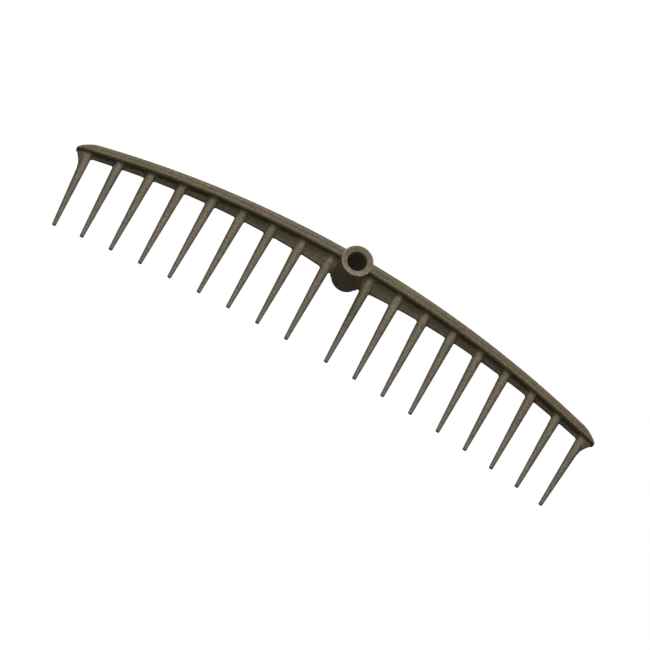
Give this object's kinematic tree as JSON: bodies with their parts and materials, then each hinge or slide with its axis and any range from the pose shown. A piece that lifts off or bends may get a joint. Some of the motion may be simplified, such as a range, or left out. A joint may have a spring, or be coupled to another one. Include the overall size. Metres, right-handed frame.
{
  "type": "bow rake head",
  "caption": "Arched rake head with a row of tapered tines under a rounded bar and a conical socket in the middle that takes a long handle.",
  "frame": {"origin": "bottom centre of the bounding box: midway along the bar, midway between the crown of the bar and the lowest tips, on the plane that the head lies on", "axes": "+X along the bar, from the left end to the right end; the tines point along -Y; +Z is the direction in which a handle leaves the socket"},
  "size_m": [0.703, 0.1551, 0.062],
  "materials": {
    "bar_plastic": "satin moulded plastic, olive brown",
    "socket_plastic": "satin moulded plastic, olive brown, rim a little polished",
    "tine_plastic": "satin moulded plastic, olive brown",
    "gusset_plastic": "satin moulded plastic, olive brown"
  },
  "bodies": {
    "root": {"back_bar": "bar_plastic", "handle_socket": "socket_plastic", "tine_01": "tine_plastic", "tine_02": "tine_plastic", "tine_03": "tine_plastic", "tine_04": "tine_plastic", "tine_05": "tine_plastic", "tine_06": "tine_plastic", "tine_07": "tine_plastic", "tine_08": "tine_plastic", "tine_09": "tine_plastic", "tine_10": "tine_plastic", "tine_11": "tine_plastic", "tine_12": "tine_plastic", "tine_13": "tine_plastic", "tine_14": "tine_plastic", "tine_15": "tine_plastic", "tine_16": "tine_plastic", "tine_17": "tine_plastic", "tine_18": "tine_plastic", "end_gusset_left": "gusset_plastic", "end_gusset_right": "gusset_plastic"}
  },
  "joints": []
}
